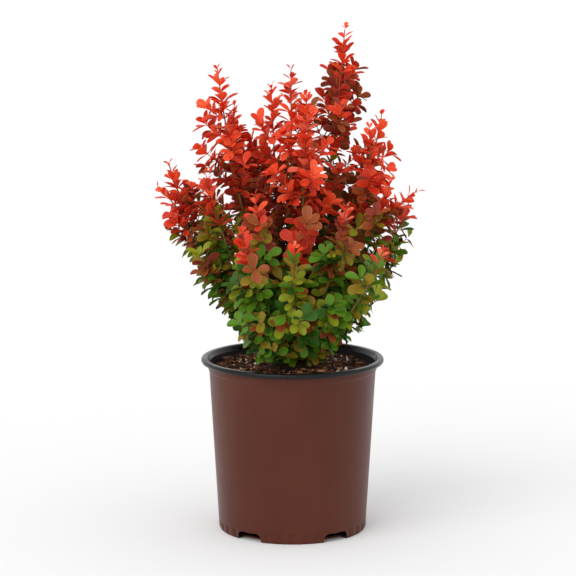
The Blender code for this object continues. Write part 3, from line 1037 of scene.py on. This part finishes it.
@dataclass(frozen=True)
class SprayHabit:
    """How the leaves of one cluster stand, with its ranges for a young and a grown one.

    What ends in play is how far a leaf may stray. Leaves droop below low_top, and most of all
    from low_span further down. The play of a root is in millimetres.
    """

    young_age: float = 0.3
    young_counts: tuple[int, ...] = (2, 3, 3)
    grown_counts: tuple[int, ...] = (4, 5, 6)
    spin_play: Span = (-0.4, 0.4)
    opening: Span = (math.radians(44), math.radians(80))
    opening_play: Span = (0.5, 1.2)
    low_top: float = 400 * MM
    low_span: float = 150 * MM
    droops: Span = (0.15, 0.75)
    outward: float = 0.8
    upward: float = 0.5
    facing: float = 1.1
    facing_play: float = 0.35
    lengths: Span = (9 * MM, 19.8 * MM)
    length_gain: float = 2.3
    length_play: Span = (0.7, 1.15)
    width_shares: Span = (0.5, 0.58)
    width_play: Span = (0.88, 1.15)
    root_play: Span = (-2.2, 2.2)
    shared_tint: float = 0.72


@dataclass(frozen=True)
class TwigHabit:
    """How a side twig leaves its shoot and turns up, and how its clusters follow each other.

    A reach is how far it goes out and how far up, and the short one is for a twig that would
    leave the crown. Its spacing is in millimetres.
    """

    first_age: float = 0.55
    every: int = 2
    turns: Span = (1.6, 4.6)
    lengths: Span = (19 * MM, 60 * MM)
    length_play: Span = (0.8, 1.15)
    shortest_share: float = 0.5
    longest_after: float = 140 * MM
    outward: float = 0.55
    forward: float = 0.45
    reach: Span = (0.85, 0.35)
    short: float = 0.6
    short_reach: Span = (0.5, 0.8)
    bend: float = 0.5
    rings: int = 7
    radii: Span = (0.9 * MM, 0.5 * MM)
    bare: float = 5 * MM
    ages: Span = (0.62, 1.0)
    ageing: float = 20 * MM
    spacing: Span = (8.5, 12.5)


@dataclass
class Growth:
    """One shoot while it grows, with the piece that its leaves join and its own draws."""

    shoot: Shoot
    leaves: Batch
    chance: random.Random


@dataclass
class Shrub:
    """The shoots, their side twigs, leaves and spines.

    A spray is YOUNG within its shoot's flush. Past it, the spray's height above green_top, in
    shares of green_fade, tells: above never_green_from it is TURNING, above bronze_from it is
    BRONZED and lower down GREEN. Above turning_from it is TURNING too, up to turned_age.
    Crown heights, crown radii and spine lengths are in millimetres.
    """

    foot_height: float = Stump.foot + Stump.height
    foot_spread: float = 0.12
    tip_lean: float = 0.55
    line_points: int = 97
    fork_start: float = 0.72
    fork_rise: float = 0.35
    fork_out: float = 0.2
    fork_points: int = 25
    fork_bare: float = 12 * MM
    fork_thickness: float = 1.3
    bare_share: float = 0.8
    cane_radius: float = 2.3 * MM
    tip_radius: float = 0.6 * MM
    tip_leaf: float = 11 * MM
    stem_sides: int = 8
    stem_step: float = 3.5 * MM
    stem_fewest: int = 6
    stem_play: float = 0.16
    stem_waves: float = 0.35
    ridge_scale: float = 900
    ridge_play: float = 0.12
    bark_ends: Span = (0.4, 0.72)
    bark: MottledFinish = MottledFinish(
        "cane_bark",
        colour=(104, 78, 52),
        roughness=0.8,
        specular=0.2,
        other=(70, 52, 36),
        blotch_scale=260,
        stretch=(1, 1, 0.3),
    )
    young_length: float = 85 * MM
    age_power: float = 0.8
    node_spacing: Span = (10 * MM, 11.5 * MM)
    node_play: Span = (0.85, 1.15)
    turn_play: Span = (-0.3, 0.3)
    spine_age: float = 0.3
    spine_turn: float = 0.4
    spine_lengths: Span = (5, 11)
    spine_lift: float = 0.25
    spine_radii: Span = (0.35 * MM, 0.06 * MM)
    flush_play: float = 0.13
    turned_age: float = 1.6
    green_top: float = 340 * MM
    green_fade: float = 140 * MM
    green_play: float = 0.16
    bronze_from: float = 0.2
    turning_from: float = 0.1
    never_green_from: float = 0.75
    soil_clearance: float = 213 * MM
    rim_clearance: float = 222 * MM
    rim_radius: float = 101 * MM
    crown_heights: tuple[float, ...] = (215, 224, 240, 260, 292, 326, 357, 382, 430, 470, 640)
    crown_radii: tuple[float, ...] = (54, 63, 78, 96, 122, 143, 156, 164, 172, 180, 180)
    shape: LeafShape = field(default_factory=LeafShape)
    spray_habit: SprayHabit = SprayHabit()
    twig_habit: TwigHabit = TwigHabit()
    leaves: dict[Bough, Batch] = field(default_factory=lambda: {bough: Batch() for bough in Bough})
    stems: Batch = field(default_factory=Batch)
    twigs: Batch = field(default_factory=Batch)
    spines: Batch = field(default_factory=Batch)

    def main_line(self, tip: Vector) -> Line:
        """Draws a shoot's line: it leaves the stump leaning out and turns upright to its tip.

        Args:
            tip: where the shoot's highest leaf ends.

        Returns:
            The shoot's centre line.
        """
        foot = Vector((tip.x * self.foot_spread, tip.y * self.foot_spread, self.foot_height))
        chord = tip - foot
        out = Vector((chord.x, chord.y, 0))
        lean = self.tip_lean * math.atan2(out.length, chord.z)
        knee = tip - (out.normalized() * math.sin(lean) + UP * math.cos(lean)) * chord.length / 2
        return Line(foot, knee, tip, self.line_points)

    def fork_line(self, main: Line, tip: Vector) -> Line:
        """Draws a side shoot's line, which turns up beside the main one.

        Args:
            main: the main shoot's line, which it leaves below its own tip.
            tip: where its highest leaf ends.

        Returns:
            The side shoot's centre line.
        """
        rise = (tip.z - main.points[0].z) / (main.points[-1].z - main.points[0].z)
        foot, along = main.at(main.length * self.fork_start * rise)
        chord = tip - foot
        knee = foot + along * chord.length * self.fork_rise + chord * self.fork_out
        return Line(foot, knee, tip, self.fork_points)

    def within(self, point: Vector) -> bool:
        """Tells whether a leaf's tip may be there.

        Args:
            point: the tip.

        Returns:
            True inside the crown, and clear of the mix and the rim.
        """
        radius = point.xy.length
        reach = float(np.interp(point.z / MM, self.crown_heights, self.crown_radii)) * MM
        low = self.rim_clearance if radius > self.rim_radius else self.soil_clearance
        return radius < reach and point.z > low

    def stage(self, growth: Growth, depth: float, point: Vector) -> Stage:
        """How far a spray has turned, from its distance below the shoot's tip and its height.

        Args:
            growth: the shoot that bears it.
            depth: how far it is below the tip, along the shoot.
            point: where it is.

        Returns:
            The spray's stage.
        """
        age = depth / (growth.shoot.flush * MM) + growth.chance.gauss(0, self.flush_play)
        height = (point.z - self.green_top) / self.green_fade + growth.chance.gauss(0, self.green_play)
        if age < 1:
            return Stage.YOUNG
        if height > self.never_green_from or (age < self.turned_age and height > self.turning_from):
            return Stage.TURNING
        return Stage.BRONZED if height > self.bronze_from else Stage.GREEN

    def add_leaf(
        self, batch: Batch, root: Vector, along: Vector, face: Vector, size: Span, tint: Tint
    ) -> None:
        """Adds one leaf where its tip may be.

        Args:
            batch: the leaves that it joins.
            root: where its base is.
            along: the way that it points.
            face: roughly the way that its upper side looks.
            size: its length and its greatest width.
            tint: its tint.
        """
        if not self.within(root + along * size[0]):
            return
        square = (face - along * face.dot(along)).normalized()
        slots = self.shape.slots + len(LEAF_PARTS) * list(Tint).index(tint)
        batch.add(self.shape.points(root, along, square, *size), self.shape.faces, slots)

    def spray(
        self, growth: Growth, point: Vector, along: Vector, turn: float, age: float, stage: Stage
    ) -> None:
        """Adds one cluster of leaves at a node.

        Args:
            growth: the shoot that bears it.
            point: the node.
            along: the way that the stem runs there.
            turn: the side of the stem that it is on.
            age: 0 for a node at the tip, 1 for one with full-grown leaves.
            stage: how far the cluster has turned.
        """
        habit = self.spray_habit
        chance = growth.chance
        count = chance.choice(habit.young_counts if age < habit.young_age else habit.grown_counts)
        shared = stage.draw(chance)
        outward = Vector((point.x, point.y, 0)).normalized() * habit.outward + UP * habit.upward
        low = min(max((habit.low_top - point.z) / habit.low_span, 0), 1) * min(age, 1)
        for index in range(count):
            side = side_of(along, turn + index * math.tau / count + chance.uniform(*habit.spin_play))
            angle = blend(*habit.opening, age) * chance.uniform(*habit.opening_play)
            out = along * math.cos(angle) + side * math.sin(angle)
            out = (out - UP * low * chance.uniform(*habit.droops)).normalized()
            face = along * (1 - low) + outward * low * habit.facing
            face += Vector([chance.uniform(-1, 1) for _ in "xyz"]) * habit.facing_play
            length = blend(*habit.lengths, age * habit.length_gain) * chance.uniform(*habit.length_play)
            width = length * blend(*habit.width_shares, age + low) * chance.uniform(*habit.width_play)
            root = point + along * chance.uniform(*habit.root_play) * MM
            tint = shared if chance.random() < habit.shared_tint else stage.draw(chance)
            self.add_leaf(growth.leaves, root, out, face, (length, width), tint)

    def spine(self, point: Vector, along: Vector, turn: float, length: float) -> None:
        """Adds one thin spine at a node.

        Args:
            point: the node.
            along: the way that the stem runs there.
            turn: the side of the stem that it is on.
            length: its length.
        """
        out = (side_of(along, turn) + along * self.spine_lift).normalized()
        tip = point + out * length
        if self.within(tip):
            foot_radius, tip_radius = self.spine_radii
            points, faces = tube([(point, out, foot_radius), (tip, out, tip_radius)], 4)
            self.spines.add(points, faces, np.zeros(len(faces)))

    def twig(
        self, growth: Growth, foot: Vector, along: Vector, turn: float, length: float, depth: float
    ) -> None:
        """Adds a side twig that turns up, with clusters of leaves along it.

        Args:
            growth: the shoot that bears it.
            foot: where it leaves its shoot.
            along: the way that the shoot runs there.
            turn: the side of the shoot that it leaves on.
            length: its length.
            depth: how far its foot is below the shoot's tip.
        """
        habit = self.twig_habit
        outward = Vector((foot.x, foot.y, 0)).normalized()
        out = (side_of(along, turn) + outward * habit.outward + along * habit.forward).normalized()
        tip = foot + (out * habit.reach[0] + UP * habit.reach[1]).normalized() * length
        if not self.within(tip):
            length *= habit.short
            tip = foot + (out * habit.short_reach[0] + UP * habit.short_reach[1]).normalized() * length
            if not self.within(tip):
                return
        line = Line(foot, foot + out * length * habit.bend, tip, habit.rings)
        shares = [index / (habit.rings - 1) for index in range(habit.rings)]
        rings = [(*line.at(line.length * share), blend(*habit.radii, share)) for share in shares]
        points, faces = tube(rings, 4)
        stage = self.stage(growth, depth, tip)
        red = stage in (Stage.YOUNG, Stage.TURNING)
        self.twigs.add(points, faces, np.full(len(faces), 2 if red else 1))
        place = line.length
        spin = growth.chance.uniform(0, math.tau)
        while place > habit.bare:
            point, way = line.at(place)
            spin += GOLDEN_ANGLE
            age = blend(*habit.ages, (line.length - place) / habit.ageing)
            self.spray(growth, point, way, spin, age, stage)
            place -= growth.chance.uniform(*habit.spacing) * MM

    def strand(self, growth: Growth, line: Line, start: float) -> None:
        """Adds the leaves, spines and side twigs along one strand, from its tip down.

        Args:
            growth: the shoot that it belongs to.
            line: its centre line.
            start: how far up it the leaves start.
        """
        habit = self.twig_habit
        chance = growth.chance
        top = line.length - self.tip_leaf
        place = top
        turn = chance.uniform(0, math.tau)
        count = 0
        while place > start:
            depth = top - place
            age = min(depth / self.young_length, 1.0)
            point, along = line.at(place)
            stage = self.stage(growth, depth, point)
            self.spray(growth, point, along, turn, age**self.age_power, stage)
            if age > self.spine_age:
                self.spine(point, along, turn + self.spine_turn, chance.uniform(*self.spine_lengths) * MM)
            if age > habit.first_age and (count % habit.every == 0 or stage is Stage.TURNING):
                grown = (depth - habit.shortest_share * self.young_length) / habit.longest_after
                side = turn + chance.uniform(*habit.turns)
                length = blend(*habit.lengths, grown) * chance.uniform(*habit.length_play)
                self.twig(growth, point, along, side, length, depth)
            turn += GOLDEN_ANGLE + chance.uniform(*self.turn_play)
            place -= blend(*self.node_spacing, age) * chance.uniform(*self.node_play)
            count += 1

    def stem(self, line: Line, foot_radius: float, seed: float) -> None:
        """Adds one stem with its bark: woody low down, olive in the middle and red at its tip.

        Args:
            line: its centre line.
            foot_radius: its radius at its foot.
            seed: where its bark's unevenness is read.
        """
        top = line.length - self.tip_leaf
        steps = max(int(top / self.stem_step), self.stem_fewest)
        rings = []
        for index in range(steps + 1):
            share = index / steps
            point, along = line.at(top * share)
            rough = 1 + self.stem_play * noise.noise(Vector((seed, share * steps * self.stem_waves, 0)))
            rings.append((point, along, blend(foot_radius, self.tip_radius, share) * rough))
        points, faces = tube(rings, self.stem_sides)
        heights = points[faces[:, 0]][:, 2]
        low = points[:, 2].min()
        share = (heights - low) / (points[:, 2].max() - low)
        for index, point in enumerate(points[: -self.stem_sides]):
            ridge = noise.noise(Vector(point) * self.ridge_scale + Vector((seed, 0, 0)))
            centre = np.array(rings[index // self.stem_sides][0])
            points[index] = centre + (point - centre) * (1 + self.ridge_play * ridge)
        woody_end, olive_end = self.bark_ends
        self.stems.add(points, faces, np.where(share < woody_end, 0, np.where(share < olive_end, 1, 2)))

    def grow(self) -> None:
        """Grows every shoot."""
        for number, shoot in enumerate(SHOOTS):
            bough = next(bough for bough in Bough if shoot.name in bough.value)
            growth = Growth(shoot, self.leaves[bough], random.Random(shoot.name))
            main = self.main_line(Vector(shoot.tip) * MM)
            self.stem(main, self.cane_radius, number)
            self.strand(growth, main, main.length * shoot.bare * self.bare_share)
            for fork in shoot.forks:
                line = self.fork_line(main, Vector(fork) * MM)
                self.stem(line, self.twig_habit.radii[0] * self.fork_thickness, number + 0.5)
                self.strand(growth, line, self.fork_bare)

    def build(self) -> None:
        """Makes the shrub's pieces."""
        self.grow()
        olive = PlainFinish("stem_olive", (124, 112, 56))
        red = PlainFinish("stem_red", (176, 62, 42))
        woody = (self.bark, olive, red)
        stems = self.stems.build("stems", woody, True)
        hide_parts(*[f"cane_{shoot.name}" for shoot in SHOOTS])
        twigs = self.twigs.build("twigs", woody, True)
        spines = self.spines.build("spines", [PlainFinish("spine", (126, 70, 44))], False)
        tints = [finish for tint in Tint for finish in tint.finishes()]
        for bough, batch in self.leaves.items():
            piece = batch.build(f"leaves_{bough.name.lower()}", tints, True)
            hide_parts(*[f"foliage_{name}" for name in bough.value])


@dataclass
class Studio:
    """A pale floor, soft light from the left front and the camera."""

    camera_place: tuple[float, float, float] = (-0.00565, -2.9, 0.7856)
    pitch: float = 0.1641
    lens: float = 147.1
    sensor: float = 36
    far_clip: float = 200
    floor_size: float = 60.0
    floor_finish: PlainFinish = PlainFinish("studio_pale", (244, 244, 244), 0.9, 0.1)
    sky: float = 0.9
    sun: float = 1.05
    sun_spread: float = math.radians(50)
    sun_turn: tuple[float, float, float] = (math.radians(48), 0, math.radians(-38))

    def floor(self) -> None:
        """Lays the floor."""
        deselect()
        bpy.ops.mesh.primitive_plane_add(size=self.floor_size, location=(0, 0, 0))
        ground = bpy.context.object
        ground.name = "studio_floor"
        dressed(ground, [self.floor_finish])

    def light(self) -> None:
        """Sets the sky and a wide soft lamp."""
        world = bpy.data.worlds.new("studio")
        world.use_nodes = True
        backdrop = world.node_tree.nodes["Background"]
        backdrop.inputs["Color"].default_value = (1, 1, 1, 1)
        backdrop.inputs["Strength"].default_value = self.sky
        bpy.context.scene.world = world
        lamp = bpy.data.lights.new("soft_lamp", "SUN")
        lamp.energy = self.sun
        lamp.angle = self.sun_spread
        lit = bpy.data.objects.new("soft_lamp", lamp)
        lit.rotation_euler = self.sun_turn
        bpy.context.scene.collection.objects.link(lit)

    def camera(self) -> None:
        """Places the camera at the photograph's view."""
        lens = bpy.data.cameras.new("camera")
        lens.lens = self.lens
        lens.sensor_width = self.sensor
        lens.clip_end = self.far_clip
        eye = bpy.data.objects.new("camera", lens)
        eye.location = self.camera_place
        eye.rotation_euler = (math.pi / 2 - self.pitch, 0, 0)
        bpy.context.scene.collection.objects.link(eye)
        bpy.context.scene.camera = eye

    def build(self) -> None:
        """Sets the scene."""
        self.floor()
        self.light()
        self.camera()
        bpy.context.scene.view_settings.view_transform = "Standard"


def main() -> None:
    """Builds every piece in order."""
    logging.basicConfig(level=logging.INFO)
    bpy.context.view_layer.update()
    Studio().build()
    log.info("studio set")
    NurseryPot().build()
    log.info("pot made")
    RolledRim().build()
    PottingMix().build()
    Stump().build()
    log.info("rim, mix and stump made")
    Shrub().build()
    log.info("shrub grown")
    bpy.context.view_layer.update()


if __name__ == "__main__":
    main()
